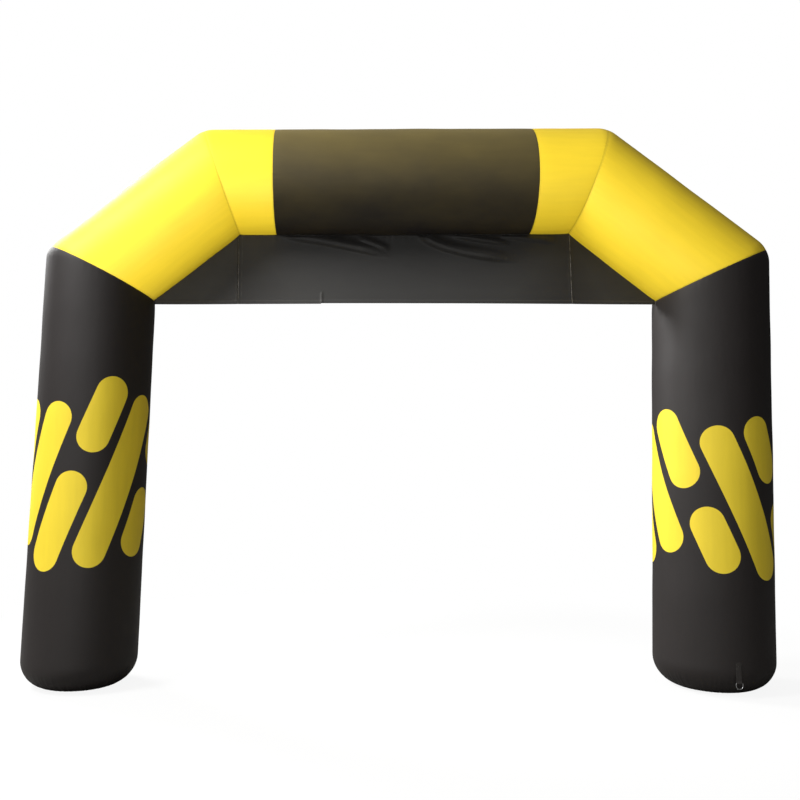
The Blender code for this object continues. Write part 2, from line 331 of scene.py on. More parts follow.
# %% [markdown]
# ## Cutting one length of tube
#
# A length of tube could be a cylinder with its ends cut by a Boolean, but the cut would leave
# the mesh's lines square to the tube, and the groove could not follow the slanted seam. Here
# each line of the mesh runs along the tube from one seam to the other, so the first ring
# lies exactly on one seam and the last on the other. numpy works out all the points of a
# length at once.
#
# Every length also gets two maps. "flat" is where a place lies on the cut cloth, in metres,
# which is what weave and print follow. "seam" is the distance to the nearest seam.

# %% Cutting one length of tube
AROUND = 360                   # lines along each tube
SEAM_ROWS = 16                 # rings in the last stretch before a seam
SEAM_STRETCH = 0.16            # length of that stretch
SEAM_CROWDING = 1.6            # above 1, its rings crowd towards the seam
PLAIN_ROW = 0.024              # from ring to ring elsewhere

SLACK_REACH = 0.5              # the slow unevenness dies out this far before a seam
FAR = 9.0                      # stands for a distance that plays no part
SHARP = math.radians(50)       # an edge that turns by more than this is shaded as an edge

TURNS = np.linspace(-math.pi, math.pi, AROUND + 1)[:-1]   # 0 faces the front


def wall_shares(length, seam_at_start, seam_at_end):
    """Where the rings lie between the ends, closer together near a seam."""
    near = SEAM_STRETCH * np.linspace(0, 1, SEAM_ROWS) ** SEAM_CROWDING
    start = near if seam_at_start else np.array([0.0])
    end = length - near[::-1] if seam_at_end else np.array([length])
    plain = np.linspace(start[-1], end[0], max(int((end[0] - start[-1]) / PLAIN_ROW), 2) + 1)
    return np.concatenate([start, plain[1:-1], end]) / length


def across_the_tube(i):
    """Directions from the axis of tube i to its lines, and how much each faces outwards."""
    outer = outer_side(run_direction(i))
    side = outer if outer[0] + outer[2] > 0 else -outer
    radial = np.outer(np.sin(TURNS), side) + np.outer(np.cos(TURNS), FRONT)
    return radial, radial @ outer


def seam_cut(i, stop):
    """Where the lines of tube i meet the seam at stop, and the numbers that shape them there."""
    radial, outside = across_the_tube(i)
    before, after = run_direction(stop - 1), run_direction(stop)
    normal = before + after
    half_turn = math.acos(np.clip(before @ after, -1, 1)) / 2
    slant = (radial @ normal) / (run_direction(i) @ normal)
    meeting = stop_point(stop) + PATH[stop].radius * (radial - np.outer(slant, run_direction(i)))
    arc = CORNER_CURVE * np.clip(outside, 0, 1) if half_turn > 0.01 else np.zeros(AROUND)
    setback = arc * (1 - math.cos(half_turn)) * math.tan(half_turn) + GAP / 2
    arc_start = arc * math.tan(half_turn) + GAP / 2
    return meeting, slant, arc, arc_start, setback


def foot_ring(stop, corner, height, radius):
    """A level ring of a foot, and the directions to its points."""
    axis = stop_point(corner) - stop_point(stop)
    radial = np.stack([np.sin(TURNS), -np.cos(TURNS), np.zeros(AROUND)], axis=1)
    return stop_point(stop) + axis * (height / axis[2]) + radius * radial, radial


def wall(i):
    """Points of tube i in rings from stop i to the next, with the map of each point.

    Returns points, distance to the nearest seam, and the distance run along the cloth.
    """
    along = run_direction(i)
    radial, outside = across_the_tube(i)
    seams = [stop for stop in (i, i + 1) if 0 < stop < len(PATH) - 1]
    cuts = {stop: seam_cut(i, stop) for stop in seams}
    ends = [
        cuts[stop][0] if stop in cuts else foot_ring(stop, near, FOOT_CURVE_UP, LEG_RADIUS)[0]
        for stop, near in ((i, i + 1), (i + 1, i))
    ]
    length = np.linalg.norm(ends[1] - ends[0], axis=1)
    low = cuts[i][4] if i in cuts else np.zeros(AROUND)
    high = length - (cuts[i + 1][4] if i + 1 in cuts else 0)
    shares = wall_shares(float(length.mean()), i in cuts, i + 1 in cuts)
    place = low + np.outer(shares, high - low)
    points = ends[0] + place[..., None] * ((ends[1] - ends[0]) / length[:, None])
    slack = smooth(place / SLACK_REACH) * smooth((length - place) / SLACK_REACH)
    inward = slow_waves(TURNS, place, seed=i) * slack
    slide = np.zeros(place.shape)
    nearest = np.full(place.shape, FAR)
    for stop, (_, slant, arc, arc_start, setback) in cuts.items():
        back = place if stop == i else length - place
        into = np.clip(arc_start - back, 0, None)
        drop = arc - np.sqrt(np.clip(arc ** 2 - into ** 2, 0, None))
        points -= drop[..., None] * outer_side(along)
        distance = back - setback
        bent = arc.max() > 0
        inside = np.clip(-outside, 0, 1) * bent
        depth = seam_depth(distance, TURNS, inside, bent, seed=2 * stop + (stop == i))
        inward += depth
        slide += depth * slant * np.exp(-distance / SHOULDER_REACH)
        nearest = np.minimum(nearest, distance)
    points += slide[..., None] * along - inward[..., None] * radial
    return points, nearest, place


def store(mesh, title, values):
    """Gives each point of a mesh a number that its material reads."""
    mesh.attributes.new(title, "FLOAT", "POINT").data.foreach_set("value", values.astype(np.float32).ravel())


def corner_points(mesh):
    """The number of the point at each corner of each face."""
    corner = np.zeros(len(mesh.loops), dtype=np.int32)
    mesh.loops.foreach_get("vertex_index", corner)
    return corner


def store_flat(mesh, places):
    """Gives each corner of each face its place on the flat cloth."""
    mesh.uv_layers.new(name="flat").data.foreach_set("uv", places.astype(np.float32).ravel())


def closed_tube(name, rows, seam, run, radius):
    """A mesh over rows of rings, closed by a flat face at each end, with its two maps."""
    count = len(rows)
    ring = np.arange(AROUND)
    here = (np.arange(count - 1) * AROUND)[:, None] + ring
    there = here + AROUND
    onward = (ring + 1) % AROUND
    quads = np.stack([here, here - ring + onward, there - ring + onward, there], axis=-1).reshape(-1, 4)
    faces = quads.tolist() + [ring[::-1].tolist(), (ring + (count - 1) * AROUND).tolist()]
    mesh = bpy.data.meshes.new(name)
    mesh.from_pydata(rows.reshape(-1, 3).tolist(), [], faces)
    mesh.update()
    store(mesh, "seam", seam)
    corner = corner_points(mesh)
    turned = TURNS[corner % AROUND]
    # The last face of a ring ends where the first one starts, but a whole turn further on.
    wraps = np.tile([0, 1, 1, 0], len(quads)).astype(bool)
    last = np.zeros(len(corner), bool)
    last[:len(wraps)] = wraps & (corner[:len(wraps)] % AROUND == 0)
    turned = np.where(last, math.pi, turned)
    store_flat(mesh, np.stack([turned * radius, run.ravel()[corner]], axis=1))
    shape = bmesh.new()
    shape.from_mesh(mesh)
    bmesh.ops.recalc_face_normals(shape, faces=shape.faces)
    shape.to_mesh(mesh)
    shape.free()
    mesh.shade_smooth()
    mesh.set_sharp_from_angle(angle=SHARP)
    return in_scene(name, mesh)


def triangles(piece):
    return sum(len(face.vertices) - 2 for face in piece.data.polygons)


print("lines along each tube:", AROUND)

# %% [markdown]
# ## The five upper lengths
#
# Left shoulder, left beam end, the black middle, right beam end, right shoulder. They are cut
# by the same function, so each seam fits its neighbour.

# %% The five upper lengths
UPPER = {"shoulder_left": 1, "beam_end_left": 2, "beam_middle": 3, "beam_end_right": 4, "shoulder_right": 5}

tubes = {}
undersides = []
for name, i in UPPER.items():
    points, seam, run = wall(i)
    tubes[name] = closed_tube("cloth_" + name, points, seam, run, PATH[i].radius)
    undersides.append(points[:, across_the_tube(i)[1].argmin()])
    print(name, triangles(tubes[name]), "triangles")

# %% [markdown]
# ## The legs and their feet
#
# A foot is a disc of cloth sewn into the end of the tube. Blown up and standing, it is flat
# where it meets the floor and rounds up into the wall. The cloth there has to shorten towards
# the disc, so it gathers in shallow folds that point at the middle of the foot.

# %% The legs and their feet
FOOT_ROWS = 18
FOOT_GATHER = 0.0040           # depth of the gathers in a foot
GATHER_EVEN = 0.4              # this share of the depth is the same all round
GATHER_HIGH = 1.15             # above 1, the gathers are deepest nearer the disc


def foot_rows(stop, corner, seed):
    """Rings of a foot from its flat base to the wall, and the height of each."""
    rows = []
    heights = []
    for t in np.linspace(0, 1, FOOT_ROWS + 1)[:-1]:
        turn = math.pi / 2 * t
        height = FOOT_CURVE_UP * (1 - math.cos(turn))
        ring, radial = foot_ring(stop, corner, height, LEG_RADIUS - FOOT_CURVE_ACROSS * (1 - math.sin(turn)))
        lean = radial * math.sin(turn) + np.array([0, 0, -math.cos(turn)])
        gather = GATHER_EVEN + (1 - GATHER_EVEN) * ripples(TURNS, seed)
        gather *= FOOT_GATHER * math.sin(math.pi * min(t * GATHER_HIGH, 1))
        rows.append(ring - lean * np.clip(gather, 0, None)[:, None])
        heights.append(np.full(AROUND, height))
    return np.array(rows), np.array(heights)


LEGS = {"leg_left": (0, 0, 1), "leg_right": (6, 7, 6)}      # tube, foot stop, corner stop
for name, (i, foot, corner) in LEGS.items():
    points, seam, _ = wall(i)
    height = points[..., 2].copy()
    if foot > corner:
        points, seam, height = points[::-1], seam[::-1], height[::-1]
    base, base_height = foot_rows(foot, corner, seed=50 + foot)
    rows = np.concatenate([base, points])
    seam = np.concatenate([np.full(base.shape[:2], FAR), seam])
    height = np.concatenate([base_height, height])
    tubes[name] = closed_tube("cloth_" + name, rows, seam, height, LEG_RADIUS)
    print(name, triangles(tubes[name]), "triangles")

# %% [markdown]
# ## The banner under the beam
#
# The space between the shoulders is closed by a hanging cloth: a middle panel as wide as the
# level beam, and a three-cornered gore at each end. It is sewn to the inner line of the tubes
# and only its lower edge is free. Such a cloth is never quite flat. Where it is pulled
# unevenly, soft ridges fan out from the beam, steep on their lower side. A simulation would
# put the folds where it pleases, so these are listed, one row of a table to a fold.

# %% The outline of the banner
BANNER_CLEAR = 0.0009          # between the banner and the tubes that it is sewn to
HEM_DROP = 0.027               # the lower edge is this far under the tubes' inner corners
BANNER_SEAMS = (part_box("banner_middle")[0].x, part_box("banner_middle")[1].x)
BANNER_ENDS = (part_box("banner_gore_left")[0].x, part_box("banner_gore_right")[1].x)


def inner_corner(stop):
    """Where the innermost lines of two tubes meet at a seam."""
    before, after = run_direction(stop - 1), run_direction(stop)
    middle = (before + after) / np.linalg.norm(before + after)
    half_turn = math.acos(np.clip(before @ after, -1, 1)) / 2
    return stop_point(stop) - outer_side(middle) * (PATH[stop].radius / math.cos(half_turn))


INNER_LINE = np.array([inner_corner(stop) for stop in (1, 2, 5, 6)])
UNDERSIDE = np.concatenate(undersides)
UNDERSIDE = UNDERSIDE[UNDERSIDE[:, 0].argsort()]


def banner_top(x):
    """The top is sewn to the tubes, so it follows each hollow in their undersides."""
    return np.interp(x, UNDERSIDE[:, 0], UNDERSIDE[:, 2]) - BANNER_CLEAR


def banner_bottom(x):
    return np.interp(x, INNER_LINE[[0, -1], 0], INNER_LINE[[0, -1], 2]) - HEM_DROP


print("banner corners:", np.round(INNER_LINE[:, [0, 2]], 3).tolist())

# %% The folds of the banner
Fold = namedtuple("Fold", "start bend end depth width")
FOLDS = (
    Fold(start=(-1.03, 3.64), bend=(-0.55, 3.57), end=(-0.07, 3.45), depth=0.014, width=0.050),
    Fold(start=(-0.36, 3.62), bend=(-0.22, 3.57), end=(-0.08, 3.51), depth=0.007, width=0.030),
    Fold(start=(0.14, 3.66), bend=(0.30, 3.47), end=(1.03, 3.41), depth=0.018, width=0.045),
    Fold(start=(0.41, 3.65), bend=(0.65, 3.59), end=(0.94, 3.56), depth=0.010, width=0.030),
    Fold(start=(0.82, 3.64), bend=(1.05, 3.60), end=(1.34, 3.58), depth=0.009, width=0.030),
)
FOLD_SAMPLES = 60
FOLD_FADE = 0.25               # share of a fold's length over which it fades in, and out again
STEEP_SIDE = 0.28              # width of a ridge's lower side, as a share of the upper side's
CREST_RISE = 0.6               # the crest is this share of the width above the fold's line
BANNER_DEPTH = 0.58            # from the beam to the lower edge
BANNER_SWING = 0.035           # the middle of the lower edge hangs forward by this much
FOLD_BOOST = 2.3               # cloth folds more sharply than the frame's plain sheet
EDGE_FADE = 0.030              # the cloth is flat where it is sewn on


def fold_height(x, z):
    """How far the folds stand forward at places on the banner."""
    here = np.stack([x, z], axis=-1)
    total = np.zeros(x.shape)
    for fold in FOLDS:
        start, bend, end = (np.array(p) for p in (fold.start, fold.bend, fold.end))
        t = np.linspace(0, 1, FOLD_SAMPLES)[:, None]
        curve = (1 - t) ** 2 * start + 2 * t * (1 - t) * bend + t ** 2 * end
        away = np.linalg.norm(here[..., None, :] - curve, axis=-1)
        best = away.argmin(axis=-1)
        above = np.where(z > curve[best, 1], 1, -1) * away.min(axis=-1)
        crest = np.where(above > 0, above, above / STEEP_SIDE) / fold.width - CREST_RISE
        share = best / (FOLD_SAMPLES - 1)
        fade = smooth(share / FOLD_FADE) * smooth((1 - share) / FOLD_FADE)
        total += fold.depth * fade * np.exp(-crest ** 2)
    return total


print("folds:", len(FOLDS))

# %% [markdown]
# The small things that sewing does to the banner come on top of the folds. The hem is two
# more layers, so it stands a little proud and has a row of stitches at its upper edge. The
# cloth gathers slightly under the beam. The seams to the gores are lapped, which makes a low
# rib. The tape in the hem ends in an upright tuck near the left, with a small step beside it.

# %% The panels of the banner
BANNER_STEP = 0.007            # from point to point on the mesh
HEM_WIDTH = 0.030
HEM_PROUD = 0.0016             # the hem stands forward by this much
RIB_WIDTH = 0.012              # a lapped seam to a gore
RIB_PROUD = 0.0022
SEAM_PUCKER = 0.0009           # small ripples beside such a seam ...
SEAM_PUCKER_REACH = 0.030      # ... and how far they run
TOP_GATHER = 0.0022            # the gathers under the beam ...
TOP_GATHER_REACH = 0.035       # ... and how far they run down
SLACK = 1.5                    # the banner is this much more uneven than a tube's wall ...
SLACK_FROM = 0.15              # ... from this far below its top on
TUCK_X = -0.653                # the upright tuck where the tape in the hem ends
TUCK_TALL = 0.105
TUCK_WIDE = 0.009
TUCK_PROUD = 0.0040
HEM_STEP = 0.005               # the hem is this much lower to the left of the tuck
STEP_SOFT = 0.006              # the width over which it steps down
CLOTH_THICKNESS = 0.0015


def banner_points(x, share):
    """Points of the banner, share of the way up its columns at x, and their maps."""
    left_of_tuck = smooth((TUCK_X - x) / STEP_SOFT)
    bottom = banner_bottom(x) - HEM_STEP * left_of_tuck
    top = banner_top(x)
    z = bottom + (top - bottom) * share
    drop = top - z
    rise = z - bottom
    along = (x - INNER_LINE[0, 0]) / (INNER_LINE[-1, 0] - INNER_LINE[0, 0])
    swing = BANNER_SWING * np.sin(math.pi * np.clip(along, 0, 1)) * (drop / BANNER_DEPTH) ** 1.5
    forward = swing + FOLD_BOOST * fold_height(x, z) * smooth(drop / EDGE_FADE)
    gather = TOP_GATHER * (1 + ripples(x * 1.6, seed=71))
    forward += gather * np.exp(-drop / TOP_GATHER_REACH) * smooth(drop / 0.004)
    forward += SLACK * slow_waves(x, z, seed=72) * smooth(drop / SLACK_FROM)
    forward += HEM_PROUD * smooth((HEM_WIDTH - rise) / 0.003)
    side = np.minimum(np.abs(x - BANNER_SEAMS[0]), np.abs(x - BANNER_SEAMS[1]))
    forward += RIB_PROUD * np.exp(-(side / RIB_WIDTH) ** 2)
    forward += SEAM_PUCKER * ripples(2 * z, seed=73) * np.exp(-side / SEAM_PUCKER_REACH)
    tuck = np.exp(-((x - TUCK_X) / TUCK_WIDE) ** 2) * smooth((TUCK_TALL - rise) / 0.02)
    forward += TUCK_PROUD * tuck
    return np.stack([x, -forward, z], axis=-1), np.minimum(side, drop), rise


def cloth_sheet(name, points, flat, thickness):
    """A sheet over a grid of points, with its own thickness and its places on the flat cloth."""
    rows, columns = points.shape[:2]
    r, c = np.meshgrid(np.arange(rows - 1), np.arange(columns - 1), indexing="ij")
    first = r * columns + c
    faces = np.stack([first, first + columns, first + columns + 1, first + 1], axis=-1).reshape(-1, 4)
    mesh = bpy.data.meshes.new(name)
    mesh.from_pydata(points.reshape(-1, 3).tolist(), [], faces.tolist())
    store_flat(mesh, flat.reshape(-1, 2)[corner_points(mesh)])
    mesh.shade_smooth()
    piece = in_scene(name, mesh)
    body = piece.modifiers.new("thickness", "SOLIDIFY")
    body.thickness = thickness
    body.offset = 0
    return piece


def banner_panel(name, left, right):
    """A panel between two upright edges, with its flat size and its area."""
    columns = max(round((right - left) / BANNER_STEP), 1)
    x = np.linspace(left, right, columns + 1)
    tallest = float((banner_top(x) - banner_bottom(x)).max())
    share = np.linspace(0, 1, round(tallest / BANNER_STEP) + 1)
    grid_x, grid_share = np.meshgrid(x, share, indexing="ij")
    points, seam, rise = banner_points(grid_x, grid_share)
    piece = cloth_sheet(name, points, points[..., [0, 2]], CLOTH_THICKNESS)
    store(piece.data, "seam", seam)
    store(piece.data, "hem", rise)
    fine = np.linspace(left, right, 400)
    area = float(np.mean(banner_top(fine) - banner_bottom(fine)) * (right - left))
    print(f"{name}: {right - left:.3f} m wide, {tallest:.3f} m tall, {area:.3f} square metres")
    return piece, (right - left, tallest), area


banner = {
    "banner_gore_left": banner_panel("cloth_gore_left", BANNER_ENDS[0], BANNER_SEAMS[0] - GAP),
    "banner_middle": banner_panel("cloth_banner", *BANNER_SEAMS),
    "banner_gore_right": banner_panel("cloth_gore_right", BANNER_SEAMS[1] + GAP, BANNER_ENDS[1]),
}

# %% [markdown]
# ## The tie ring and its webbing
#
# An arch is tied down at its feet. A D of bent and plated wire hangs in a loop of webbing,
# and the webbing is sewn flat on the leg. The ring is a curve with a round bevel, which stays
# smooth however near the camera comes. The webbing is one strip that goes down, round the
# ring's bar and up again over itself.

# %% The tie ring
ring_low, ring_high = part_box("tie_ring")
tab_low, tab_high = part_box("ring_tab")
RING_WIRE = (ring_high.y - ring_low.y) / 2
RING_X = (ring_low.x + ring_high.x) / 2
RING_Y = (ring_low.y + ring_high.y) / 2
RING_HALF_WIDTH = (ring_high.x - ring_low.x) / 2 - RING_WIRE
RING_BAR = ring_high.z - RING_WIRE
RING_STRAIGHT = (RING_BAR - ring_low.z - RING_WIRE) - RING_HALF_WIDTH
RING_BEND = 0.0035             # radius of the bends at the ends of the ring's bar


def arc_points(x, z, radius, start, end, steps):
    """Points of an arc, its angles in degrees from the right."""
    turns = np.radians(np.linspace(start, end, steps + 1))
    return [(x + radius * math.cos(t), z + radius * math.sin(t)) for t in turns]


def curve_of(name, lines, thickness, closed=False):
    """A round wire or thread along each of some lines of points."""
    data = bpy.data.curves.new(name, "CURVE")
    data.dimensions = "3D"
    data.bevel_depth = thickness / 2
    data.bevel_resolution = 4
    data.use_fill_caps = True
    for line in lines:
        spline = data.splines.new("POLY")
        spline.points.add(len(line) - 1)
        for target, place in zip(spline.points, line):
            target.co = (*place, 1)
        spline.use_cyclic_u = closed
    return in_scene(name, data)


bend_x = RING_HALF_WIDTH - RING_BEND
ring_line = arc_points(bend_x, RING_BAR - RING_BEND, RING_BEND, 90, 0, 8)
ring_line += arc_points(0, RING_BAR - RING_STRAIGHT, RING_HALF_WIDTH, 0, -180, 48)
ring_line += arc_points(-bend_x, RING_BAR - RING_BEND, RING_BEND, 180, 90, 8)
ring = curve_of("ring_wire", [[(RING_X + x, RING_Y, z) for x, z in ring_line]], 2 * RING_WIRE, closed=True)
print(f"ring {1000 * (ring_high.x - ring_low.x):.0f} mm wide, of {2000 * RING_WIRE:.0f} mm wire")

# %% The webbing tab
WEBBING_THICKNESS = 0.0015
TAB_BACK = -(LEG_RADIUS + GAP + WEBBING_THICKNESS / 2)
LOOP_RADIUS = RING_WIRE + GAP + WEBBING_THICKNESS / 2
TAB_FRONT = TAB_BACK - WEBBING_THICKNESS - 2 * GAP
TAB_TAPER = 0.018              # above the bar, the front ply comes in to the back one over this height
TAB_SHORT = 0.004              # the front ply ends this far below the back one
TAB_ACROSS = 24                # faces across the webbing
TAB_STEP = 0.002               # and the length of each
WEBBING_RIB = 0.0046           # from one woven rib to the next, drawn twice as coarse as real


def tab_line():
    """(y, z) along the middle of the webbing: down the back, round the bar, up the front."""
    turns = np.linspace(0, math.pi, 17)
    loop = [(RING_Y + LOOP_RADIUS * math.cos(t), RING_BAR - LOOP_RADIUS * math.sin(t)) for t in turns]
    corners = [(TAB_BACK, tab_high.z), *loop]
    corners += [(TAB_FRONT, RING_BAR + TAB_TAPER), (TAB_FRONT, tab_high.z - TAB_SHORT)]
    line = [np.array(corners[0])]
    for corner in corners[1:]:
        step = np.array(corner) - line[-1]
        parts = max(round(float(np.linalg.norm(step)) / TAB_STEP), 1)
        line += [line[-1] + step * (k + 1) / parts for k in range(parts)]
    return np.array(line)


line = tab_line()
run = np.concatenate([[0], np.cumsum(np.linalg.norm(np.diff(line, axis=0), axis=1))])
TAB_WIDTH, TAB_LENGTH = tab_high.x - tab_low.x, float(run[-1])
across = np.linspace(-TAB_WIDTH / 2, TAB_WIDTH / 2, TAB_ACROSS + 1)
points = np.array([[(RING_X + a, y, z) for a in across] for y, z in line])
flat = np.array([[(a, here) for a in across] for here in run])
tab = cloth_sheet("webbing_tab", points, flat, WEBBING_THICKNESS)
print(f"webbing {1000 * TAB_WIDTH:.0f} mm wide and {1000 * TAB_LENGTH:.0f} mm long")

# %% [markdown]
# The webbing is held by a sewn box with a cross in it. Each stitch is a short length of
# thread lying on the front ply, so it is made as one, in rows along the lines of the box.

# %% The stitches of the tab
STITCH = 0.0040                # length of a stitch, and of the gap after it
STITCH_GAP = 0.0016
STITCH_BULGE = 0.0004          # its middle stands this far off the webbing
THREAD = 0.0009
BOX_HALF = 0.0155
BOX_LOW, BOX_HIGH = tab_high.z - 0.052, tab_high.z - 0.008


def stitches(start, end):
    """Short threads in a row from start to end, both (x, z) on the front ply."""
    start, end = np.array(start), np.array(end)
    count = max(int(np.linalg.norm(end - start) / (STITCH + STITCH_GAP)), 1)
    step = (end - start) / count
    share = STITCH / (STITCH + STITCH_GAP)
    front = TAB_FRONT - WEBBING_THICKNESS / 2
    rows = []
    for k in range(count):
        a, b = start + step * k, start + step * (k + share)
        bulges = ((0, 0), (0.25, STITCH_BULGE), (0.75, STITCH_BULGE), (1, 0))
        places = [(a + (b - a) * along, bulge) for along, bulge in bulges]
        rows.append([(RING_X + p[0], front - bulge, p[1]) for p, bulge in places])
    return rows


corners = [(-BOX_HALF, BOX_LOW), (BOX_HALF, BOX_LOW), (BOX_HALF, BOX_HIGH), (-BOX_HALF, BOX_HIGH)]
rows = [row for k in range(4) for row in stitches(corners[k], corners[(k + 1) % 4])]
rows += stitches(corners[0], corners[2]) + stitches(corners[1], corners[3])
tab_thread = curve_of("tab_stitches", rows, THREAD)
print("stitches on the tab:", len(rows))

# %% [markdown]
# ## The print on the legs
#
# A blower arch is often printed round its legs. The print is drawn on the flat cloth before
# the tube is sewn, so it follows the round of the leg and does not stretch. Here it is a
# plain design: round-ended bars of uneven length, in lanes that all lean one way. On the
# right leg they lean the other way. Each point of a leg stores how far it is outside the
# nearest bar. The colour changes where that distance is zero, which gives a crisp edge on
# a mesh much coarser than the edge.

# %% The print on the legs
Bar = namedtuple("Bar", "lane height length")
BAR_WIDTH = 0.255
LANES = 8                      # lanes of bars round a leg
LANE_LEVEL = 1.6               # height at which lane 0 crosses the front of the leg
PRINT_LEAN = {"leg_left": math.radians(21), "leg_right": math.radians(-24)}
PRINTS = {
    "leg_left": (
        Bar(lane=-4, height=1.72, length=1.05),
        Bar(lane=-3, height=1.28, length=0.55), Bar(lane=-3, height=2.00, length=0.62),
        Bar(lane=-2, height=1.80, length=0.95),
        Bar(lane=-1, height=1.66, length=1.18),
        Bar(lane=0, height=2.12, length=0.62), Bar(lane=0, height=1.30, length=0.80),
        Bar(lane=1, height=1.62, length=1.42),
        Bar(lane=2, height=2.10, length=0.78), Bar(lane=2, height=1.28, length=0.56),
        Bar(lane=3, height=1.60, length=1.05),
    ),
    "leg_right": (
        Bar(lane=-4, height=1.50, length=0.95),
        Bar(lane=-3, height=1.22, length=0.58), Bar(lane=-3, height=1.92, length=0.56),
        Bar(lane=-2, height=1.56, length=1.10),
        Bar(lane=-1, height=1.16, length=0.52), Bar(lane=-1, height=1.86, length=0.66),
        Bar(lane=0, height=1.44, length=1.26),
        Bar(lane=1, height=1.84, length=0.54), Bar(lane=1, height=1.12, length=0.66),
        Bar(lane=2, height=1.52, length=1.00),
        Bar(lane=3, height=1.20, length=0.54), Bar(lane=3, height=1.88, length=0.60),
    ),
}


def outside_print(across, height, bars, lean):
    """Metres from places on the flat cloth to the nearest bar, less than zero inside one."""
    way = np.array([math.sin(lean), math.cos(lean)])
    girth = 2 * math.pi * LEG_RADIUS
    nearest = np.full(np.broadcast(across, height).shape, FAR)
    for bar in bars:
        middle = bar.lane * girth / LANES + (bar.height - LANE_LEVEL) * math.tan(lean)
        aside = (across - middle + girth / 2) % girth - girth / 2
        up = height - bar.height
        half = (bar.length - BAR_WIDTH) / 2
        along = np.clip(aside * way[0] + up * way[1], -half, half)
        distance = np.hypot(aside - along * way[0], up - along * way[1]) - BAR_WIDTH / 2
        nearest = np.minimum(nearest, distance)
    return nearest


for name, bars in PRINTS.items():
    mesh = tubes[name].data
    height = np.zeros(3 * len(mesh.vertices))
    mesh.vertices.foreach_get("co", height)
    across = np.tile(TURNS * LEG_RADIUS, len(mesh.vertices) // AROUND)
    distance = outside_print(across, height[2::3], bars, PRINT_LEAN[name])
    store(mesh, "print", distance)
    print(f"{name}: {len(bars)} printed shapes, {100 * np.mean(distance < 0):.0f} % of its points")

# %% [markdown]
# ## The cloth of the tubes
#
# The tubes are polyester cloth with a thin plastic coating. To the eye that is a strong even
# colour under a broad, soft shine, and never a sharp mirror. Close up there is a fine square
# weave under the coating. Along a seam the colour is painted a little darker, as painted shade
# in the groove, and a row of thread runs on each side of it. The coating is not quite even, so the
# shine varies slowly from place to place.
#
# Every pattern on cloth reads the map "flat", which is in metres of cut cloth.

# %% What the materials share
MATH = "ShaderNodeMath"
TIMES, PLUS, MORE = {"operation": "MULTIPLY"}, {"operation": "ADD"}, {"operation": "MAXIMUM"}
TIMES_PLUS = {"operation": "MULTIPLY_ADD"}
COLOUR_MIX = {"data_type": "RGBA"}
CLOUD_DETAIL = 3.0             # how many finer layers a patch of noise has


def cloth_place(tree, across=1.0, along=1.0):
    """Places on the flat cloth in metres, each way multiplied by a number."""
    flat = add(tree, "ShaderNodeUVMap", {"uv_map": "flat"}).outputs[0]
    return add(tree, "ShaderNodeVectorMath", TIMES, in0=flat, in1=(across, along, 1.0)).outputs[0]


def patches(tree, place, size, low=0.0, high=1.0):
    """Soft random patches whose values run from low to high. size is in the units of place."""
    cloud = add(tree, "ShaderNodeTexNoise", {"Scale": 1 / size, "Detail": CLOUD_DETAIL}, Vector=place)
    return add(tree, "ShaderNodeMapRange", {"To Min": low, "To Max": high}, Value=cloud.outputs[0]).outputs[0]


def line_at(tree, value, middle, half, soft):
    """1 where value is within half of middle, fading out over soft."""
    away = add(tree, MATH, {"operation": "SUBTRACT"}, in0=value, in1=middle).outputs[0]
    away = add(tree, MATH, {"operation": "ABSOLUTE"}, in0=away).outputs[0]
    return add(tree, "ShaderNodeMapRange", {
        "interpolation_type": "SMOOTHSTEP", "From Min": half, "From Max": half + soft,
        "To Min": 1.0, "To Max": 0.0}, Value=away).outputs[0]


def wave(tree, value, pitch):
    """A wave from -1 to 1 that repeats with each pitch of value."""
    turned = add(tree, MATH, TIMES, in0=value, in1=2 * math.pi / pitch).outputs[0]
    return add(tree, MATH, {"operation": "SINE"}, in0=turned).outputs[0]


def weave(tree, pitch):
    """The height of a plain weave, from 0 to 1."""
    parts = add(tree, "ShaderNodeSeparateXYZ", Vector=cloth_place(tree))
    over = wave(tree, parts.outputs["X"], pitch)
    under = wave(tree, parts.outputs["Y"], pitch)
    product = add(tree, MATH, TIMES, in0=over, in1=under).outputs[0]
    return add(tree, MATH, TIMES_PLUS, in0=product, in1=0.5, in2=0.5).outputs[0]


def relief(tree, *layers):
    """Bumps laid over each other. Each layer is a height, its strength and its depth in metres."""
    normal = None
    for height, strength, depth in layers:
        bump = add(tree, "ShaderNodeBump", {"Strength": strength, "Distance": depth}, Height=height)
        if normal:
            tree.links.new(normal, bump.inputs["Normal"])
        normal = bump.outputs[0]
    return normal


def new_material(name):
    """An empty material, its tree and the shader in it."""
    material = bpy.data.materials.new(name)
    material.use_nodes = True
    return material, material.node_tree, material.node_tree.nodes["Principled BSDF"]


print("bump layers, weave, lines and patches are ready")
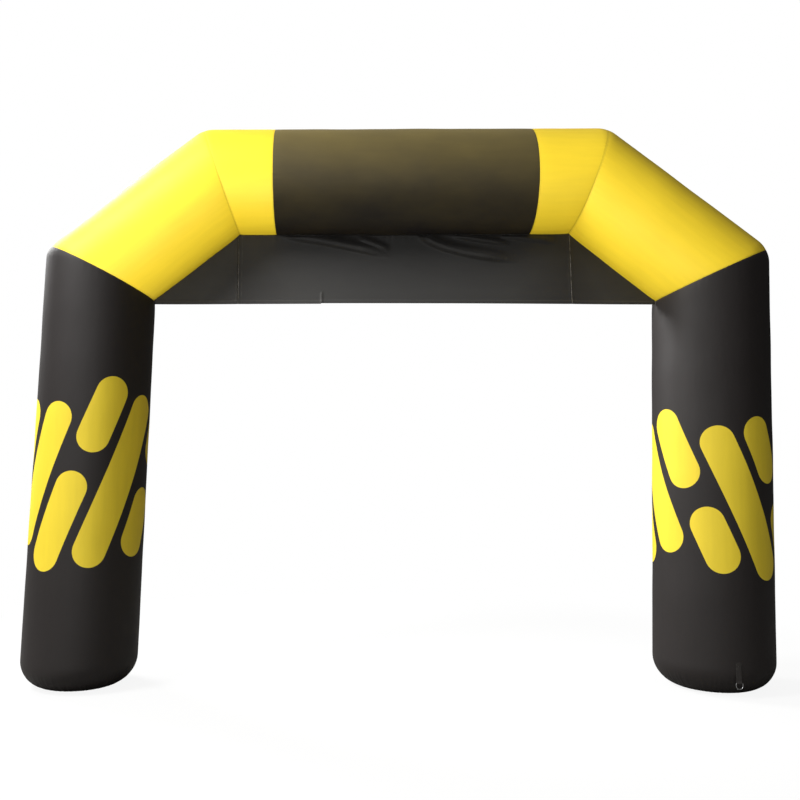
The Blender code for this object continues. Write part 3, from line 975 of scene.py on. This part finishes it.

# %% [markdown]
# One function makes every coated cloth. What differs is the colour, how much painted light
# from above lightens its upper side, and whether it carries the print. The coating blade leaves
# weak broad streaks along the cloth, and a full tube keeps a few soft creases that never quite blow out.

# %% The coated cloths
YELLOW = srgb("#EFCE2C")
PRINT_YELLOW_LIT_THROUGH = srgb("#F9DC3A")     # the ink, a little paler than the dyed cloth; part of that is painted light, for daylight that shines through the cloth
BLACK = srgb("#292524")
PAINTED_SKYLIGHT_BLACK = srgb("#7C6D38")      # the beam's upper side: painted light from the sky makes it lighter and more olive
THREAD_ON_YELLOW = srgb("#B39A2E")
THREAD_ON_BLACK = srgb("#3A3633")
ROUGHNESS = 0.58                   # a satin coating
GLEAM = 0.33                       # it mirrors less than bare plastic does, which has 0.5
WEAVE_PITCH = 0.0030               # the real one is about 0.6 mm, too fine to show at all
STITCH_PITCH = 0.0120              # the real one is about 4 mm, drawn three times as coarse
STITCH_ROW = 0.0075                # a row of thread is this far from the seam, on each side of it
SEAM_SHADE = 0.22                   # painted shade in the groove takes this share of the colour ...
SEAM_SHADE_HALF, SEAM_SHADE_SOFT = 0.0008, 0.0045          # ... over this width, and then fades out
PRINT_EDGE = 0.0012                # half the width over which the print's colour changes


def coated_polyester(name, colour, thread, painted_lighter=0.0, printed=None):
    """A tube's cloth. faded is how strongly its upper side is painted lighter, as painted light from above;
    printed is the ink's colour.
    """
    material, tree, shader = new_material(name)
    seam = add(tree, "ShaderNodeAttribute", {"attribute_name": "seam"}).outputs["Fac"]
    tone = colour
    if printed:
        outside = add(tree, "ShaderNodeAttribute", {"attribute_name": "print"}).outputs["Fac"]
        inked = add(tree, "ShaderNodeMapRange", {
            "From Min": -PRINT_EDGE, "From Max": PRINT_EDGE, "To Min": 1.0, "To Max": 0.0},
            Value=outside).outputs[0]
        tone = add(tree, "ShaderNodeMix", COLOUR_MIX, in0=inked, in6=tone, in7=printed).outputs[2]
    if painted_lighter:
        # Painted light: what faces the sky is painted lighter and more olive, in patches of about half a
        # metre.
        facing = add(tree, "ShaderNodeNewGeometry").outputs["Normal"]
        upward = add(tree, "ShaderNodeSeparateXYZ", Vector=facing).outputs["Z"]
        uneven = patches(tree, cloth_place(tree, across=1.6), 0.55, low=-0.60, high=0.60)
        upward = add(tree, MATH, PLUS, in0=upward, in1=uneven).outputs[0]
        painted_skylight = add(tree, "ShaderNodeMapRange", {
            "From Min": -1.15, "From Max": 1.10, "To Max": painted_lighter}, Value=upward).outputs[0]
        tone = add(tree, "ShaderNodeMix", COLOUR_MIX, in0=painted_skylight, in6=tone, in7=PAINTED_SKYLIGHT_BLACK).outputs[2]

    streaks = patches(tree, cloth_place(tree, along=0.09), 0.045, low=0.94, high=1.06)
    clouds = patches(tree, cloth_place(tree), 0.60, low=0.95, high=1.05)
    # Painted shade: the colour is darkened along each seam, for the shade in its groove.
    groove = line_at(tree, seam, 0.0, SEAM_SHADE_HALF, SEAM_SHADE_SOFT)
    groove_shade = add(tree, MATH, TIMES_PLUS, in0=groove, in1=-SEAM_SHADE, in2=1.0).outputs[0]
    level = add(tree, MATH, TIMES, in0=streaks, in1=clouds).outputs[0]
    level = add(tree, MATH, TIMES, in0=level, in1=groove_shade).outputs[0]
    grey = add(tree, "ShaderNodeCombineColor", in0=level, in1=level, in2=level).outputs[0]
    tone = add(tree, "ShaderNodeMix", {"data_type": "RGBA", "blend_type": "MULTIPLY"},
               in0=1.0, in6=tone, in7=grey).outputs[2]

    parts = add(tree, "ShaderNodeSeparateXYZ", Vector=cloth_place(tree))
    dash = wave(tree, parts.outputs["X"], STITCH_PITCH)
    dash = add(tree, "ShaderNodeMapRange", {"From Min": -0.5, "From Max": -0.1}, Value=dash).outputs[0]
    row = line_at(tree, seam, STITCH_ROW, 0.0008, 0.0006)
    sewn = add(tree, MATH, TIMES, in0=row, in1=dash).outputs[0]
    tone = add(tree, "ShaderNodeMix", COLOUR_MIX, in0=sewn, in6=tone, in7=thread).outputs[2]
    tree.links.new(tone, shader.inputs["Base Color"])

    shine = patches(tree, cloth_place(tree), 0.25, low=ROUGHNESS - 0.07, high=ROUGHNESS + 0.07)
    tree.links.new(shine, shader.inputs["Roughness"])
    shader.inputs["Specular IOR Level"].default_value = GLEAM
    creases = patches(tree, cloth_place(tree, along=0.35), 0.11)
    cross = weave(tree, WEAVE_PITCH)
    normal = relief(tree, (creases, 0.30, 0.0060), (cross, 0.25, 0.00012), (sewn, 0.6, 0.0006))
    tree.links.new(normal, shader.inputs["Normal"])
    return material


yellow_cloth = coated_polyester("yellow coated polyester", YELLOW, THREAD_ON_YELLOW)
# The beam's cloth carries painted light from the sky on its upper side.
black_cloth = coated_polyester(
    "black coated polyester, faded on top", BLACK, THREAD_ON_BLACK, painted_lighter=0.85)
printed_cloth = coated_polyester(
    "black coated polyester, printed", BLACK, THREAD_ON_BLACK, printed=PRINT_YELLOW_LIT_THROUGH)
print("tube cloths:", ", ".join(m.name for m in (yellow_cloth, black_cloth, printed_cloth)))

# %% [markdown]
# The banner is a lighter cloth with less coating, so it has a satin face and a looser weave.
# Its hem is sewn with a pale thread, which shows as a broken row of stitches. Along its seams run
# thin broken pale lines, partly pale thread and partly a painted highlight on the raised rib of the seam.

# %% The banner's cloth
BANNER_BLACK = srgb("#1D1B19")
BANNER_LIT = srgb("#343331")      # painted light: the colour where it hangs free, away from the seams and the beam
LIT_REACH = 0.50                  # this far from a seam or the beam the painted light is full
# The pale colour of the thread, also used for the painted highlight on the seams' ribs.
BANNER_THREAD_AND_SHINE = srgb("#8C8781")
BANNER_WEAVE = 0.0040              # drawn five times as coarse as real
SeamLine = namedtuple("SeamLine", "x strength")
SEAM_LINES = (
    SeamLine(x=BANNER_SEAMS[0] + 0.004, strength=0.50),
    SeamLine(x=BANNER_SEAMS[0] + 0.032, strength=0.18),
    SeamLine(x=BANNER_SEAMS[1] + 0.004, strength=0.75),
)
HEM_STITCH_STRENGTH = 0.22


def banner_polyester(name):
    material, tree, shader = new_material(name)
    parts = add(tree, "ShaderNodeSeparateXYZ", Vector=cloth_place(tree))
    patchy = patches(tree, cloth_place(tree), 0.055, low=-1.3, high=2.4)
    patchy = add(tree, "ShaderNodeClamp", Value=patchy).outputs[0]
    threads_and_shine = 0.0
    # Painted highlight: thin pale lines along the seams, broken into patches, partly thread and partly a
    # painted highlight on the rib.
    for seam_line in SEAM_LINES:
        line = line_at(tree, parts.outputs["X"], seam_line.x, 0.0014, 0.0012)
        line = add(tree, MATH, TIMES, in0=line, in1=seam_line.strength).outputs[0]
        line = add(tree, MATH, TIMES, in0=line, in1=patchy).outputs[0]
        threads_and_shine = add(tree, MATH, MORE, in0=threads_and_shine, in1=line).outputs[0]
    rise = add(tree, "ShaderNodeAttribute", {"attribute_name": "hem"}).outputs["Fac"]
    hem = line_at(tree, rise, HEM_WIDTH - 0.003, 0.0010, 0.0010)
    dash = wave(tree, parts.outputs["X"], STITCH_PITCH)
    dash = add(tree, "ShaderNodeMapRange", {
        "From Min": -0.4, "From Max": 0.1, "To Max": HEM_STITCH_STRENGTH}, Value=dash).outputs[0]
    hem = add(tree, MATH, TIMES, in0=hem, in1=dash).outputs[0]
    threads_and_shine = add(tree, MATH, MORE, in0=threads_and_shine, in1=hem).outputs[0]

    # Painted light and shade: the cloth is painted darker near its seams and under the beam, where shade
    # falls, and lighter where it hangs free, in soft uneven patches.
    seam = add(tree, "ShaderNodeAttribute", {"attribute_name": "seam"}).outputs["Fac"]
    hanging = add(tree, "ShaderNodeMapRange", {"From Max": LIT_REACH}, Value=seam).outputs[0]
    uneven = patches(tree, cloth_place(tree, across=0.5, along=1.6), 0.20, low=-0.15, high=0.20)
    painted_light_share = add(tree, MATH, {"operation": "ADD", "use_clamp": True}, in0=hanging, in1=uneven).outputs[0]
    tone = add(tree, "ShaderNodeMix", COLOUR_MIX, in0=painted_light_share, in6=BANNER_BLACK, in7=BANNER_LIT).outputs[2]
    tone = add(tree, "ShaderNodeMix", COLOUR_MIX, in0=threads_and_shine, in6=tone, in7=BANNER_THREAD_AND_SHINE).outputs[2]
    tree.links.new(tone, shader.inputs["Base Color"])
    shader.inputs["Roughness"].default_value = 0.55
    shader.inputs["Sheen Weight"].default_value = 0.15
    shader.inputs["Sheen Roughness"].default_value = 0.5
    wrinkles = patches(tree, cloth_place(tree, across=0.45, along=1.3), 0.060)
    normal = relief(tree, (wrinkles, 0.35, 0.004), (weave(tree, BANNER_WEAVE), 0.30, 0.0002))
    tree.links.new(normal, shader.inputs["Normal"])
    return material


banner_cloth = banner_polyester("black polyester banner cloth")
print("banner cloth:", banner_cloth.name)

# %% [markdown]
# Webbing is a thick narrow weave of matt black yarn with ribs across it. The thread is waxed,
# so it shines a little more. The ring is steel wire, zinc plated: bright, but a little dull
# from handling.

# %% Webbing, thread and steel
webbing, tree, shader = new_material("black polyester webbing")
parts = add(tree, "ShaderNodeSeparateXYZ", Vector=cloth_place(tree))
slanted = add(tree, MATH, PLUS, in0=parts.outputs["X"], in1=parts.outputs["Y"]).outputs[0]
ribs = wave(tree, parts.outputs["Y"], WEBBING_RIB)
twill = wave(tree, slanted, WEBBING_RIB)
yarn = add(tree, MATH, PLUS, in0=ribs, in1=twill).outputs[0]
yarn = add(tree, MATH, TIMES_PLUS, in0=yarn, in1=0.25, in2=0.5).outputs[0]
tone = add(tree, "ShaderNodeMix", COLOUR_MIX, in0=yarn, in6=srgb("#1B1918"), in7=srgb("#3A3532")).outputs[2]
tree.links.new(tone, shader.inputs["Base Color"])
shader.inputs["Roughness"].default_value = 0.75
tree.links.new(relief(tree, (yarn, 0.7, 0.0008)), shader.inputs["Normal"])

thread, tree, shader = new_material("black bonded thread")
shader.inputs["Base Color"].default_value = srgb("#4A4642")
fuzz = patches(tree, add(tree, "ShaderNodeTexCoord").outputs["Object"], 0.0012, low=0.40, high=0.62)
tree.links.new(fuzz, shader.inputs["Roughness"])

steel, tree, shader = new_material("zinc plated steel wire")
shader.inputs["Base Color"].default_value = srgb("#C9CACB")
shader.inputs["Metallic"].default_value = 1.0
scuffs = patches(tree, add(tree, "ShaderNodeTexCoord").outputs["Object"], 0.006, low=0.20, high=0.45)
tree.links.new(scuffs, shader.inputs["Roughness"])
tree.links.new(relief(tree, (scuffs, 0.2, 0.0003)), shader.inputs["Normal"])
print("small materials:", webbing.name, "/", thread.name, "/", steel.name)

# %% [markdown]
# ## Putting the pieces on the frame
#
# Each piece rides on the frame, wears its material and takes the place of one frame piece.
# The tubes are tight with air. The banner panels hang from the tubes.

# %% Putting the pieces on the frame
CLOTH_OF = {
    "leg_left": (printed_cloth, "black_cloth"),
    "leg_right": (printed_cloth, "black_cloth"),
    "shoulder_left": (yellow_cloth, "yellow_cloth"),
    "shoulder_right": (yellow_cloth, "yellow_cloth"),
    "beam_end_left": (yellow_cloth, "yellow_cloth"),
    "beam_end_right": (yellow_cloth, "yellow_cloth"),
    "beam_middle": (black_cloth, "black_cloth"),
}


def fit(piece, material, node=None):
    """Puts a piece on the frame, in its material and in the place of a frame piece."""
    piece.data.materials.append(material)
    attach(piece, "root")
    if node:
        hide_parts(node)


for node, (material, slot) in CLOTH_OF.items():
    fit(tubes[node], material, node)
    if slot == "yellow_cloth":
        glowing.objects.link(tubes[node])

for node, (piece, flat, area) in banner.items():
    fit(piece, banner_cloth, node)

fit(ring, steel, "tie_ring")
fit(tab, webbing, "ring_tab")
fit(tab_thread, thread)
print("pieces on the frame:", len(tubes) + len(banner) + 3)
